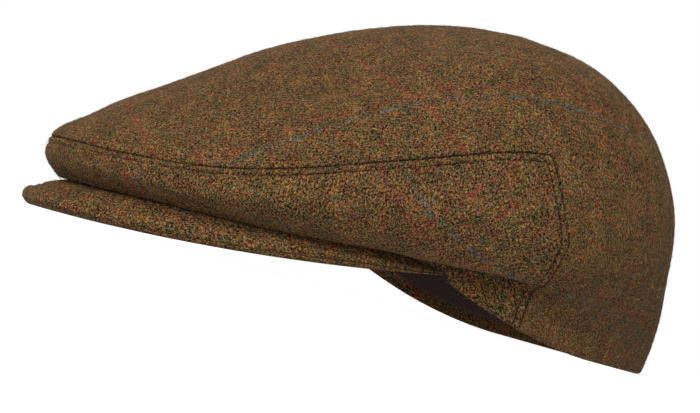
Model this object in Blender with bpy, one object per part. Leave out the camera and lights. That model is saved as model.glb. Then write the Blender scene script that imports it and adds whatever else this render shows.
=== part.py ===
# Tweed flat cap: a one-piece top, a side panel wrapped round the front, a two-layer peak and a sweatband.
# Metres, +Z up. The front is -Y, the wearer's left is +X, and the cap rests on z = 0.

import math

import bmesh
import bpy
import numpy as np

# Rim: the opening for the head, measured outside the hem
RIM_LENGTH = 0.202
RIM_WIDTH = 0.152
RIM_ROUNDNESS = 2.3
APEX_FROM_RIM_FRONT = 0.108

# Crown
CROWN_HEIGHT = 0.1245
CROWN_WIDTH = 0.205
NOSE_OVERHANG = 0.069
BACK_OVERHANG = 0.001
CROWN_ROUNDNESS = 2.2
CLOTH_WALL = 0.0022
SEAM_GAP = 0.0003

# Peak
PEAK_LENGTH = 0.074
PEAK_WIDTH = 0.160
PEAK_CORNER_FROM_RIM_FRONT = 0.085
PEAK_WIDEST_FROM_RIM_FRONT = 0.046
PEAK_UPPER_WALL = 0.0035
PEAK_UNDER_WALL = 0.0018
PEAK_CORNER_RISE = 0.0171
PEAK_SPRING = 0.0255
PEAK_EDGE_CURVE = 1.75
PEAK_SPRING_CURVE = 1.8
PEAK_EDGE_ROUNDING = 0.45
HORN_ROUNDING = 0.3
HORN_THINNING = 0.75
HORN_START = 0.7
LAY_CLEARANCE = 0.0006

# Hem and sweatband
HEM_ARCH_LENGTH = 0.076
HEM_ARCH_CURVE = 1.8
BAND_HEIGHT = 0.030
BAND_WALL = 0.0012
BAND_SET_UP = 0.0055
BAND_LEAN = 0.0045

# Mesh fineness: columns round the whole cap and in half the side panel, and rows between levels
COLUMNS = 72
HALF_PANEL_COLUMNS = 20
PEAK_COLUMNS = 40
PEAK_ROWS = (0.0, 0.25, 0.5, 0.72, 0.9)
PEAK_EDGE_ROWS = 3
BAND_ROWS = 3
ROWS_PER_LEVEL = (2, 2, 2, 3, 3, 2, 3, 3, 3)

# Step for measuring a direction or a length on the crown, in levels and panel widths
PROBE = 0.002

# Between these shares of the way from the front to the corner, the lower cloth rises from lying to standing
STAND_FROM = 0.5
STAND_TO = 0.8

# Colours of the cloth and the ribbon, linear
TWEED_COLOUR = (0.094, 0.060, 0.031)
UNDER_TWEED_COLOUR = (0.080, 0.052, 0.028)
RIBBON_COLOUR = (0.026, 0.014, 0.012)
CLOTH_ROUGHNESS = 0.95
RIBBON_ROUGHNESS = 0.75
SHARP_ANGLE = math.radians(40)

# Stations round the cap, in degrees from the front, and what the crown does at each of them
STATIONS = (0, 30, 60, 85, 105, 140, 180)

# Lower levels: reach as a share of the overhang, from the rim (0) to the bulge (1)
#            front  temple cheek  side   seam   hind   back
LOWER_REACH = {
    "hem":    (0.000, 0.000, 0.000, 0.000, 0.000, 0.000, 0.000),
    "band":   (0.450, 0.220, 0.010, 0.020, 0.090, 0.120, 0.300),
    "crease": (0.790, 0.430, 0.030, 0.050, 0.230, 0.300, 0.500),
    "fold":   (0.900, 0.700, 0.400, 0.400, 0.480, 0.550, 0.400),
}

# Upper levels: reach as a share of the bulge's own reach
#            front  temple cheek  side   seam   hind   back
UPPER_REACH = {
    "bulge":    (1.000, 1.000, 1.000, 1.000, 0.995, 0.967, 0.963),
    "seam":     (0.998, 1.000, 0.990, 0.987, 0.970, 0.915, 0.893),
    "shoulder": (0.915, 0.935, 0.945, 0.938, 0.905, 0.845, 0.820),
    "brow":     (0.735, 0.765, 0.800, 0.808, 0.785, 0.728, 0.690),
    "crown":    (0.462, 0.500, 0.530, 0.540, 0.530, 0.505, 0.480),
}

# Height of each level from the crease up, as a share of the crown's height. The rim or the peak sets the hem.
#            front  temple cheek  side   seam   hind   back
LEVEL_HEIGHT = {
    "crease":   (0.085, 0.085, 0.190, 0.222, 0.165, 0.100, 0.100),
    "fold":     (0.118, 0.130, 0.165, 0.182, 0.195, 0.180, 0.165),
    "bulge":    (0.185, 0.190, 0.275, 0.335, 0.335, 0.315, 0.300),
    "seam":     (0.240, 0.264, 0.450, 0.585, 0.595, 0.580, 0.560),
    "shoulder": (0.352, 0.375, 0.565, 0.690, 0.705, 0.690, 0.682),
    "brow":     (0.545, 0.565, 0.730, 0.820, 0.830, 0.820, 0.815),
    "crown":    (0.802, 0.814, 0.892, 0.935, 0.935, 0.930, 0.925),
}

# Where the upright seam of the side panel crosses each level, in degrees from the front
UPRIGHT_SEAM = {
    "hem": 102.0,
    "band": 101.6,
    "crease": 101.2,
    "fold": 101.2,
    "bulge": 100.4,
    "seam": 91.0,
    "shoulder": 90.0,
    "brow": 90.0,
    "crown": 90.0,
    "apex": 90.0,
}

LEVELS = list(LOWER_REACH) + list(UPPER_REACH)
CREASE_LEVEL = LEVELS.index("crease")
SEAM_LEVEL = LEVELS.index("seam")
APEX_LEVEL = len(LEVELS)

# Places that follow from the sizes, with the cap's box centred on the origin
BEHIND_RIM = BACK_OVERHANG * max(shares[-1] for shares in LOWER_REACH.values())
RIM_FRONT = -(RIM_LENGTH + BEHIND_RIM - PEAK_LENGTH) / 2
CENTRE_Y = RIM_FRONT + APEX_FROM_RIM_FRONT
RIM_FRONT_REACH = APEX_FROM_RIM_FRONT
RIM_BACK_REACH = RIM_LENGTH - APEX_FROM_RIM_FRONT
CORNER_Y = RIM_FRONT + PEAK_CORNER_FROM_RIM_FRONT
PEAK_TIP_Y = RIM_FRONT - PEAK_LENGTH
PEAK_WIDEST_Y = RIM_FRONT + PEAK_WIDEST_FROM_RIM_FRONT


def clamp(value, low=0.0, high=1.0):
    return max(low, min(high, value))


def turn_from_front(angle):
    return abs(math.atan2(math.sin(angle), math.cos(angle)))


def ease(value):
    share = clamp(value)
    return share * share * (3 - 2 * share)


def oval(angle, front, side, back, roundness):
    # Distance from the centre to a rounded oval with its own reach to the front, side and back
    along = front if math.cos(angle) > 0 else back
    across = abs(math.sin(angle) / side) ** roundness
    lengthwise = abs(math.cos(angle) / along) ** roundness
    return (across + lengthwise) ** (-1 / roundness)


def rim_reach(angle):
    return oval(angle, RIM_FRONT_REACH, RIM_WIDTH / 2, RIM_BACK_REACH, RIM_ROUNDNESS)


def bulge_reach(angle):
    return oval(
        angle, RIM_FRONT_REACH + NOSE_OVERHANG, CROWN_WIDTH / 2,
        RIM_BACK_REACH + BACK_OVERHANG, CROWN_ROUNDNESS)


def peak_reach(angle):
    # The peak's outline is an ellipse centred ahead of the crown's centre
    half_width = PEAK_WIDTH / 2
    half_length = PEAK_WIDEST_Y - PEAK_TIP_Y
    ahead = CENTRE_Y - PEAK_WIDEST_Y
    a = (math.sin(angle) / half_width) ** 2 + (math.cos(angle) / half_length) ** 2
    b = -2 * ahead * math.cos(angle) / half_length ** 2
    c = (ahead / half_length) ** 2 - 1
    return (-b + math.sqrt(b * b - 4 * a * c)) / (2 * a)


def outward(angle):
    return np.array([math.sin(angle), -math.cos(angle), 0.0])


def place(angle, reach, height):
    return outward(angle) * reach + np.array([0.0, CENTRE_Y, height])


def find_corner_angle():
    # The peak ends where its outline has come back to the hem
    low, high = math.radians(40), math.radians(90)
    for _ in range(40):
        middle = (low + high) / 2
        if peak_reach(middle) > rim_reach(middle):
            low = middle
        else:
            high = middle
    return low


CORNER_ANGLE = find_corner_angle()
HORN_MARGIN = math.radians(180) / COLUMNS


def along_stations(values, angle):
    # Smooth curve through the values at the stations, level at the front and at the back
    degrees = math.degrees(turn_from_front(angle))
    last = len(STATIONS) - 1
    slopes = [0.0] * (last + 1)
    for i in range(1, last):
        slopes[i] = (values[i + 1] - values[i - 1]) / (STATIONS[i + 1] - STATIONS[i - 1])
    i = 0
    while i < last - 1 and degrees > STATIONS[i + 1]:
        i += 1
    span = STATIONS[i + 1] - STATIONS[i]
    s = (degrees - STATIONS[i]) / span
    start = (2 * s ** 3 - 3 * s ** 2 + 1) * values[i] + (s ** 3 - 2 * s ** 2 + s) * span * slopes[i]
    end = (3 * s ** 2 - 2 * s ** 3) * values[i + 1] + (s ** 3 - s ** 2) * span * slopes[i + 1]
    return start + end


def hem_arch(y):
    # The hem lies flat at the back and rises to the peak's corner
    share = clamp((y - CORNER_Y) / HEM_ARCH_LENGTH)
    return PEAK_CORNER_RISE * (1 - share) ** HEM_ARCH_CURVE


def rim_height(angle):
    # Underside of the rim: the hem behind the corner, the peak's inner edge ahead of it
    turn = turn_from_front(angle)
    if turn < CORNER_ANGLE:
        lift = 0.5 + 0.5 * math.cos(math.pi * turn / CORNER_ANGLE)
        return PEAK_CORNER_RISE + (PEAK_SPRING - PEAK_CORNER_RISE) * lift
    return hem_arch(CENTRE_Y - rim_reach(angle) * math.cos(angle))


def peak_edge_height(angle):
    y = CENTRE_Y - peak_reach(angle) * math.cos(angle)
    return PEAK_CORNER_RISE * clamp((y - PEAK_TIP_Y) / (CORNER_Y - PEAK_TIP_Y)) ** PEAK_EDGE_CURVE


def peak_taper(angle):
    # The peak thins towards the horns at its corners
    return 1 - HORN_THINNING * ease((abs(angle) / CORNER_ANGLE - HORN_START) / (1 - HORN_START))


def peak_inner_reach(angle):
    return rim_reach(angle) - CLOTH_WALL


def peak_under_height(angle, reach):
    outer = max(peak_reach(angle), rim_reach(angle))
    share = clamp((outer - reach) / (outer - peak_inner_reach(angle)))
    edge = peak_edge_height(angle)
    return edge + (rim_height(angle) - edge) * (1 - (1 - share) ** PEAK_SPRING_CURVE)


def peak_wall(angle):
    return (PEAK_UPPER_WALL + PEAK_UNDER_WALL) * peak_taper(angle) + SEAM_GAP


def peak_top_height(angle, reach):
    return peak_under_height(angle, reach) + peak_wall(angle)


def off_peak(turn):
    # 0 where the hem lies on the peak, 1 where it hangs free behind the corner
    return ease((turn - CORNER_ANGLE - HORN_MARGIN) / (2 * HORN_MARGIN))


def stands_up(turn):
    # 0 where the lower cloth lies flat on the peak, 1 where it stands up from the rim
    return ease((turn / CORNER_ANGLE - STAND_FROM) / (STAND_TO - STAND_FROM))


def level_points(angle):
    # Reach and height of every level of the crown in one direction, and the apex
    turn = turn_from_front(angle)
    rim, bulge = rim_reach(turn), bulge_reach(turn)
    free, standing = off_peak(turn), stands_up(turn)
    points = []
    crease = along_stations(LEVEL_HEIGHT["crease"], turn) * CROWN_HEIGHT
    for name in LEVELS:
        if name in LEVEL_HEIGHT:
            height = along_stations(LEVEL_HEIGHT[name], turn) * CROWN_HEIGHT
        if name in LOWER_REACH:
            reach = rim + (bulge - rim) * along_stations(LOWER_REACH[name], turn)
        else:
            reach = bulge * along_stations(UPPER_REACH[name], turn)
        if name == "hem":
            reach -= CLOTH_WALL * (1 - standing)
            on_peak = peak_top_height(min(turn, CORNER_ANGLE), reach) + LAY_CLEARANCE
            height = on_peak + (rim_height(turn) - on_peak) * free
        if name == "band":
            height = (points[0][1] + crease) / 2
        points.append((reach, height))
    points.append((0.0, CROWN_HEIGHT))
    return np.array(points)


def crown_section(angle, t):
    # Reach and height at t, where whole numbers are the levels and the last one is the apex
    points = level_points(angle)
    i = min(int(t), APEX_LEVEL - 1)
    s = t - i
    chord = np.linalg.norm(np.diff(points, axis=0), axis=1)
    slopes = np.zeros_like(points)
    for k in range(1, APEX_LEVEL):
        before = (points[k] - points[k - 1]) / chord[k - 1]
        after = (points[k + 1] - points[k]) / chord[k]
        share = chord[k - 1] / (chord[k - 1] + chord[k])
        slopes[k] = before * (1 - share) + after * share
    slopes[0] = (points[1] - points[0]) / chord[0]
    slopes[APEX_LEVEL] = (-1.0, 0.0)
    a = (2 * s ** 3 - 3 * s ** 2 + 1) * points[i] + (s ** 3 - 2 * s ** 2 + s) * chord[i] * slopes[i]
    b = (3 * s ** 2 - 2 * s ** 3) * points[i + 1] + (s ** 3 - s ** 2) * chord[i] * slopes[i + 1]
    reach, height = a + b
    turn = turn_from_front(angle)
    if turn < CORNER_ANGLE and reach < peak_reach(turn):
        # The cloth lies on the peak's top as far as the crease, and nowhere goes below it
        on_peak = peak_top_height(turn, reach) + LAY_CLEARANCE
        if t <= CREASE_LEVEL:
            height = on_peak + (height - on_peak) * stands_up(turn)
        height = max(height, on_peak)
    return np.array([reach, height])


def upright_seam_angle(t):
    crossings = list(UPRIGHT_SEAM.values())
    return math.radians(float(np.interp(t, range(len(crossings)), crossings)))


def grid_angle(u, t):
    # u runs from -1 to 1 over the side panel and on to 3 round the back, with the upright seams at -1 and 1
    seam = upright_seam_angle(t)
    if u <= 1:
        return u * seam
    return seam + (u - 1) * (math.pi - seam)


def crown_outside(u, t):
    angle = grid_angle(u, t)
    reach, height = crown_section(angle, t)
    return place(angle, reach, height)


def crown_normal(u, t):
    high, low = min(t + PROBE, APEX_LEVEL - PROBE), max(t - PROBE, 0.0)
    rise = crown_outside(u, high) - crown_outside(u, low)
    round_way = crown_outside(u + PROBE, t) - crown_outside(u - PROBE, t)
    normal = np.cross(round_way, rise)
    normal /= np.linalg.norm(normal)
    # Where the cloth stands up from the rim, its hem is cut square
    angle = grid_angle(u, t)
    square = stands_up(turn_from_front(angle)) * clamp(1 - 2 * t)
    normal = normal * (1 - square) + outward(angle) * square
    return normal / np.linalg.norm(normal)


def crown_inside(u, t):
    if t >= APEX_LEVEL:
        return np.array([0.0, CENTRE_Y, CROWN_HEIGHT - CLOTH_WALL])
    return crown_outside(u, t) - crown_normal(u, t) * CLOTH_WALL


def row_values(first, last):
    values = []
    for level in range(first, last):
        rows = ROWS_PER_LEVEL[level]
        values += [level + i / rows for i in range(rows)]
    return values + [last]


def gap_in_t(u, t):
    # Half the seam's gap, as a share of a level
    length = np.linalg.norm(crown_outside(u, t) - crown_outside(u, t - PROBE))
    return SEAM_GAP / 2 / length * PROBE


def gap_in_u(t):
    # Half the seam's gap, as a share of the side panel's half width
    length = np.linalg.norm(crown_outside(1, t) - crown_outside(1 - PROBE, t))
    return SEAM_GAP / 2 / length * PROBE


def new_object(name, mesh, material):
    mesh.validate()
    piece = bpy.data.objects.new(name, mesh)
    bpy.context.scene.collection.objects.link(piece)
    mesh.materials.append(material)
    mesh.shade_smooth()
    mesh.set_sharp_from_angle(angle=SHARP_ANGLE)
    return piece


def closed_shell(name, grid_out, grid_in, ring, material):
    # Two grids of points, outside and inside, joined along their edges; a ring closes on itself
    work = bmesh.new()
    outside = [[work.verts.new(p) for p in row] for row in grid_out]
    inside = [[work.verts.new(p) for p in row] for row in grid_in]
    rows, columns = len(outside), len(outside[0])
    spans = columns if ring else columns - 1
    for j in range(rows - 1):
        for i in range(spans):
            k = (i + 1) % columns
            work.faces.new((outside[j][i], outside[j][k], outside[j + 1][k], outside[j + 1][i]))
            work.faces.new((inside[j][i], inside[j + 1][i], inside[j + 1][k], inside[j][k]))
    for i in range(spans):
        k = (i + 1) % columns
        work.faces.new((outside[0][k], outside[0][i], inside[0][i], inside[0][k]))
        work.faces.new((outside[-1][i], outside[-1][k], inside[-1][k], inside[-1][i]))
    if not ring:
        for j in range(rows - 1):
            work.faces.new((outside[j][0], outside[j + 1][0], inside[j + 1][0], inside[j][0]))
            work.faces.new((outside[j + 1][-1], outside[j][-1], inside[j][-1], inside[j + 1][-1]))
    return finish_mesh(name, work, material)


def finish_mesh(name, work, material):
    bmesh.ops.recalc_face_normals(work, faces=work.faces)
    mesh = bpy.data.meshes.new(name)
    work.to_mesh(mesh)
    work.free()
    return new_object(name, mesh, material)


def cloth_material(name, colour, roughness):
    material = bpy.data.materials.new(name)
    material.use_nodes = True
    shader = material.node_tree.nodes["Principled BSDF"]
    shader.inputs["Base Color"].default_value = (*colour, 1.0)
    shader.inputs["Roughness"].default_value = roughness
    shader.inputs["Metallic"].default_value = 0.0
    return material


def build_side_panel(material):
    # From the upright seam on one side, round the front, to the other, and from the hem to the top seam
    half = HALF_PANEL_COLUMNS
    rows = row_values(0, SEAM_LEVEL)
    out, inn = [], []
    for t in rows:
        edge = 1 - gap_in_u(t)
        out_row, in_row = [], []
        for i in range(-half, half + 1):
            u = edge * i / half
            drop = gap_in_t(u, SEAM_LEVEL) if t == SEAM_LEVEL else 0.0
            out_row.append(crown_outside(u, t - drop))
            in_row.append(crown_inside(u, t - drop))
        out.append(out_row)
        inn.append(in_row)
    return closed_shell("side_panel", out, inn, False, material)


def build_top_panel(material):
    # One piece of cloth: the whole top, and the drape behind the upright seams down to the hem
    half = HALF_PANEL_COLUMNS
    back = COLUMNS - 2 * half
    front_u = [i / half for i in range(-half, half + 1)]
    back_u = [1 + 2 * i / back for i in range(1, back)]
    work = bmesh.new()

    def add_row(us, t, shift):
        out = [work.verts.new(crown_outside(u, t + shift(u))) for u in us]
        inn = [work.verts.new(crown_inside(u, t + shift(u))) for u in us]
        return out, inn

    def skin(low, high, pairs):
        for i, k in pairs:
            work.faces.new((low[0][i], low[0][k], high[0][k], high[0][i]))
            work.faces.new((low[1][i], high[1][i], high[1][k], low[1][k]))

    ring_u = front_u + back_u
    count = len(ring_u)
    rows = row_values(SEAM_LEVEL, APEX_LEVEL)
    seam_row = add_row(ring_u, SEAM_LEVEL, lambda u: gap_in_t(u, SEAM_LEVEL))
    low = seam_row
    around = [(i, (i + 1) % count) for i in range(count)]
    for t in rows[1:-1]:
        high = add_row(ring_u, t, lambda u: 0.0)
        skin(low, high, around)
        low = high
    tip_out = work.verts.new(crown_outside(0, APEX_LEVEL))
    tip_in = work.verts.new(crown_inside(0, APEX_LEVEL))
    for i, k in around:
        work.faces.new((low[0][i], low[0][k], tip_out))
        work.faces.new((low[1][k], low[1][i], tip_in))
    for i in range(2 * half):
        work.faces.new((seam_row[0][i + 1], seam_row[0][i], seam_row[1][i], seam_row[1][i + 1]))

    # The drape hangs from the back of the seam row, between the two upright seams
    start, end = 2 * half, 0
    hang = [start] + list(range(start + 1, count)) + [end]
    high = ([seam_row[0][i] for i in hang], [seam_row[1][i] for i in hang])
    pairs = [(i, i + 1) for i in range(len(hang) - 1)]
    for t in reversed(row_values(0, SEAM_LEVEL)[:-1]):
        edge = 2 * gap_in_u(t) / back * half
        us = [1 + edge] + back_u + [3 - edge]
        low = add_row(us, t, lambda u: 0.0)
        skin(low, high, pairs)
        for column in (0, -1):
            work.faces.new((low[0][column], high[0][column], high[1][column], low[1][column]))
        high = low
    for i, k in pairs:
        work.faces.new((high[0][k], high[0][i], high[1][i], high[1][k]))
    return finish_mesh("top_panel", work, material)


def peak_section(angle, lower, upper):
    # Loop of one layer of the peak between two heights in its thickness, rounded at the outer edge
    inner = peak_inner_reach(angle)
    width = peak_reach(angle) - inner
    wall = peak_wall(angle)
    rounding = min(wall * PEAK_EDGE_ROUNDING, width * HORN_ROUNDING)

    def at(share_out, lift):
        pull = rounding * (1 - math.sqrt(1 - (2 * clamp(lift / wall) - 1) ** 2))
        height = peak_under_height(angle, inner + width * share_out) + lift
        return place(angle, inner + (width - pull) * share_out, height)

    bottom = [at(s, lower) for s in PEAK_ROWS]
    edge = [at(1.0, lower + (upper - lower) * k / PEAK_EDGE_ROWS) for k in range(PEAK_EDGE_ROWS + 1)]
    top = [at(s, upper) for s in reversed(PEAK_ROWS)]
    return bottom + edge + top


def build_peak_layer(name, is_upper, material):
    # Sections swept from horn to horn and capped at both ends
    limit = CORNER_ANGLE - HORN_MARGIN
    sections = []
    for i in range(PEAK_COLUMNS + 1):
        angle = limit * (2 * i / PEAK_COLUMNS - 1)
        under = PEAK_UNDER_WALL * peak_taper(angle)
        if is_upper:
            sections.append(peak_section(angle, under + SEAM_GAP, peak_wall(angle)))
        else:
            sections.append(peak_section(angle, 0.0, under))
    work = bmesh.new()
    loops = [[work.verts.new(p) for p in section] for section in sections]
    size = len(loops[0])
    for first, second in zip(loops, loops[1:]):
        for i in range(size):
            k = (i + 1) % size
            work.faces.new((first[i], first[k], second[k], second[i]))
    work.faces.new(loops[0])
    work.faces.new(loops[-1])
    return finish_mesh(name, work, material)


def build_sweatband(material):
    # A ring inside the rim that leans in towards its upper edge
    out, inn = [], []
    for j in range(BAND_ROWS + 1):
        share = j / BAND_ROWS
        out_row, in_row = [], []
        for i in range(COLUMNS):
            angle = 2 * math.pi * i / COLUMNS
            reach = rim_reach(angle) - CLOTH_WALL - SEAM_GAP - BAND_LEAN * share
            height = rim_height(angle) + BAND_SET_UP + BAND_HEIGHT * share
            out_row.append(place(angle, reach, height))
            in_row.append(place(angle, reach - BAND_WALL, height))
        out.append(out_row)
        inn.append(in_row)
    return closed_shell("sweatband", out, inn, True, material)


def clear_scene():
    for piece in list(bpy.data.objects):
        bpy.data.objects.remove(piece, do_unlink=True)


def main():
    clear_scene()
    tweed = cloth_material("brown_tweed", TWEED_COLOUR, CLOTH_ROUGHNESS)
    under_tweed = cloth_material("brown_tweed_under", UNDER_TWEED_COLOUR, CLOTH_ROUGHNESS)
    ribbon = cloth_material("dark_ribbon", RIBBON_COLOUR, RIBBON_ROUGHNESS)
    build_top_panel(tweed)
    build_side_panel(tweed)
    build_peak_layer("peak_under", False, under_tweed)
    build_peak_layer("peak_upper", True, tweed)
    build_sweatband(ribbon)


main()
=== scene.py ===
import math
from functools import partial

import bmesh
import bpy
import numpy as np
from mathutils import Matrix


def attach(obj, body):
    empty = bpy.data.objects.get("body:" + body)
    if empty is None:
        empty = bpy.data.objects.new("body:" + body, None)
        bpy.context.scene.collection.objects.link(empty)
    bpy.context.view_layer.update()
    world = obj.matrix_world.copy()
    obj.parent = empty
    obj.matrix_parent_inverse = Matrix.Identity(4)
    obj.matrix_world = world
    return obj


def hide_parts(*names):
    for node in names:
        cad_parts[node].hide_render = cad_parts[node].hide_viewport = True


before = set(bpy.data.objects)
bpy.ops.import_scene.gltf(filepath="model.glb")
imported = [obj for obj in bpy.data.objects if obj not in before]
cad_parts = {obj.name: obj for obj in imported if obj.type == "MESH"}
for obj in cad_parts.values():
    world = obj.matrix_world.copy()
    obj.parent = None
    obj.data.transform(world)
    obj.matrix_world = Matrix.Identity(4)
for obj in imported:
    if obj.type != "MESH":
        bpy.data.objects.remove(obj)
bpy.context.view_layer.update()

# Tweed flat cap. Metres, +Z up, peak towards -Y, the wearer's left towards +X.
# Angles go round the cap from the peak: 0 front, 90 degrees the side, 180 the back.

mm = 0.001

capSizes = {
    "rimLength": 0.202,           # opening, measured outside the hem
    "rimWidth": 0.152,
    "rimRoundness": 2.3,
    "apexFromRimFront": 0.108,
    "crownHeight": 0.1245,
    "crownWidth": 0.205,
    "noseOverhang": 0.069,
    "backOverhang": 0.001,
    "crownRoundness": 2.2,
    "wall": 0.0022,               # cloth with its seam allowance
    "seamGap": 0.0003,
    "hemArchLength": 0.076,
    "hemArchCurve": 1.8,
    "standFrom": 0.5,             # the lower cloth rises from lying to standing between these shares
    "standTo": 0.8,
    "layClearance": 0.0006,
    "layTurn": 0.0012,
    "hemDrop": 1.3,               # the hem comes down off the peak over this many of the horn's margins
}

peakSizes = {
    "length": 0.074,
    "width": 0.160,
    "cornerFromRimFront": 0.085,
    "widestFromRimFront": 0.046,
    "upperWall": 0.0035,
    "underWall": 0.0018,
    "cornerRise": 0.0171,
    "spring": 0.0255,
    "edgeCurve": 1.75,
    "springCurve": 1.8,
    "edgeRounding": 0.45,
    "hornRounding": 0.3,
    "hornThinning": 0.75,
    "hornStart": 0.7,
    "hornMargin": math.radians(2.5),
}

bandSizes = {
    "height": 0.030,
    "wall": 0.0012,
    "setUp": 0.0055,
    "lean": 0.0045,
    "edgeRoll": 0.0005,
}

# What the crown does at each station round it
stations = np.array([0, 30, 60, 85, 105, 140, 180], dtype=float)
# Share of the overhang, from the rim (0) to the bulge (1)
#              front  temple cheek  side   seam   hind   back
lowerReach = {
    "hem":      (0.000, 0.000, 0.000, 0.000, 0.000, 0.000, 0.000),
    "band":     (0.450, 0.220, 0.010, 0.020, 0.090, 0.120, 0.300),
    "crease":   (0.790, 0.430, 0.030, 0.050, 0.230, 0.300, 0.500),
    "fold":     (0.900, 0.700, 0.400, 0.400, 0.480, 0.550, 0.400),
}
# Share of the bulge's own reach
upperReach = {
    "bulge":    (1.000, 1.000, 1.000, 1.000, 0.995, 0.967, 0.963),
    "seam":     (0.998, 1.000, 0.990, 0.987, 0.970, 0.915, 0.893),
    "shoulder": (0.915, 0.935, 0.945, 0.938, 0.905, 0.845, 0.820),
    "brow":     (0.735, 0.765, 0.800, 0.808, 0.785, 0.728, 0.690),
    "crown":    (0.462, 0.500, 0.530, 0.540, 0.530, 0.505, 0.480),
}
# Share of the crown's height. Brow and crown are eased a little from the solids, for a smoother outline
levelHeight = {
    "crease":   (0.085, 0.085, 0.190, 0.222, 0.165, 0.100, 0.100),
    "fold":     (0.118, 0.130, 0.165, 0.182, 0.195, 0.180, 0.165),
    "bulge":    (0.185, 0.190, 0.275, 0.335, 0.335, 0.315, 0.300),
    "seam":     (0.240, 0.264, 0.450, 0.585, 0.595, 0.580, 0.560),
    "shoulder": (0.352, 0.375, 0.565, 0.690, 0.705, 0.690, 0.682),
    "brow":     (0.545, 0.565, 0.728, 0.814, 0.820, 0.810, 0.810),
    "crown":    (0.802, 0.814, 0.892, 0.936, 0.937, 0.932, 0.925),
}
# Degrees from the front at which the upright seam crosses each level, and the apex
uprightSeam = (102.0, 101.6, 101.2, 101.2, 100.4, 91.0, 90.0, 90.0, 90.0, 90.0)

levelNames = list(lowerReach) + list(upperReach)
creaseLevel = levelNames.index("crease")
bulgeLevel = levelNames.index("bulge")
seamLevel = levelNames.index("seam")
apexLevel = len(levelNames)

behindRim = capSizes["backOverhang"] * max(shares[-1] for shares in lowerReach.values())
rimFrontY = -(capSizes["rimLength"] + behindRim - peakSizes["length"]) / 2
centreY = rimFrontY + capSizes["apexFromRimFront"]
rimBackReach = capSizes["rimLength"] - capSizes["apexFromRimFront"]
cornerY = rimFrontY + peakSizes["cornerFromRimFront"]
peakTipY = rimFrontY - peakSizes["length"]
peakWidestY = rimFrontY + peakSizes["widestFromRimFront"]


def ease(value, start=0.0, end=1.0):
    # 0 at the start, 1 at the end, and smooth between them
    share = np.clip((value - start) / (end - start), 0.0, 1.0)
    return share * share * (3 - 2 * share)


def bell(value, middle, width):
    return np.exp(-((value - middle) / width) ** 2)


def unit(vectors):
    return vectors / np.maximum(np.linalg.norm(vectors, axis=-1, keepdims=True), 1e-12)


def hermite(start, end, slopeIn, slopeOut, s):
    return (
        (2 * s ** 3 - 3 * s ** 2 + 1) * start + (s ** 3 - 2 * s ** 2 + s) * slopeIn
        + (3 * s ** 2 - 2 * s ** 3) * end + (s ** 3 - s ** 2) * slopeOut
    )


def turnFromFront(angle):
    return np.abs(np.arctan2(np.sin(angle), np.cos(angle)))


def runUp(steps, axis=0):
    # Distance run before each step and at the end
    return np.insert(np.cumsum(steps, axis=axis), 0, 0.0, axis=axis)


def runAlong(points, axis=0):
    return runUp(np.linalg.norm(np.diff(points, axis=axis), axis=-1), axis)


def runRound(angle, reach):
    return runUp(np.hypot(np.diff(angle) * reach[:-1], np.diff(reach)))


def oval(angle, front, side, back, roundness):
    along = np.where(np.cos(angle) > 0, front, back)
    across = np.abs(np.sin(angle) / side) ** roundness
    lengthwise = np.abs(np.cos(angle) / along) ** roundness
    return (across + lengthwise) ** (-1 / roundness)


def rimReach(angle):
    front = capSizes["apexFromRimFront"]
    return oval(angle, front, capSizes["rimWidth"] / 2, rimBackReach, capSizes["rimRoundness"])


def bulgeReach(angle):
    front = capSizes["apexFromRimFront"] + capSizes["noseOverhang"]
    back = rimBackReach + capSizes["backOverhang"]
    return oval(angle, front, capSizes["crownWidth"] / 2, back, capSizes["crownRoundness"])


def peakReach(angle):
    halfWidth = peakSizes["width"] / 2
    halfLength = peakWidestY - peakTipY
    ahead = centreY - peakWidestY
    a = (np.sin(angle) / halfWidth) ** 2 + (np.cos(angle) / halfLength) ** 2
    b = -2 * ahead * np.cos(angle) / halfLength ** 2
    c = (ahead / halfLength) ** 2 - 1
    return (-b + np.sqrt(b * b - 4 * a * c)) / (2 * a)


def findCornerAngle():
    low, high = math.radians(40), math.radians(90)
    for _ in range(40):
        middle = (low + high) / 2
        if peakReach(middle) > rimReach(middle):
            low = middle
        else:
            high = middle
    return low


cornerAngle = findCornerAngle()


def place(angle, reach, height):
    flat = np.broadcast_to(height, np.shape(angle))
    return np.stack([reach * np.sin(angle), centreY - reach * np.cos(angle), flat], axis=-1)


def alongStations(values, turn):
    degrees = np.degrees(turn)
    values = np.array(values)
    span = np.diff(stations)
    slopes = np.zeros(len(values))
    slopes[1:-1] = (values[2:] - values[:-2]) / (stations[2:] - stations[:-2])
    i = np.clip(np.searchsorted(stations, degrees) - 1, 0, len(span) - 1)
    s = (degrees - stations[i]) / span[i]
    return hermite(values[i], values[i + 1], slopes[i] * span[i], slopes[i + 1] * span[i], s)


def rimHeight(angle):
    turn = turnFromFront(angle)
    lift = 0.5 + 0.5 * np.cos(math.pi * np.minimum(turn / cornerAngle, 1.0))
    ahead = peakSizes["cornerRise"] + (peakSizes["spring"] - peakSizes["cornerRise"]) * lift
    y = centreY - rimReach(angle) * np.cos(angle)
    share = np.clip((y - cornerY) / capSizes["hemArchLength"], 0.0, 1.0)
    behind = peakSizes["cornerRise"] * (1 - share) ** capSizes["hemArchCurve"]
    return np.where(turn < cornerAngle, ahead, behind)


def peakInnerReach(angle):
    return rimReach(angle) - capSizes["wall"]


def peakUnderHeight(angle, reach):
    y = centreY - peakReach(angle) * np.cos(angle)
    rise = np.clip((y - peakTipY) / (cornerY - peakTipY), 0.0, 1.0)
    edge = peakSizes["cornerRise"] * rise ** peakSizes["edgeCurve"]
    outer = np.maximum(peakReach(angle), rimReach(angle))
    share = np.clip((outer - reach) / (outer - peakInnerReach(angle)), 0.0, 1.0)
    return edge + (rimHeight(angle) - edge) * (1 - (1 - share) ** peakSizes["springCurve"])


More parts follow.
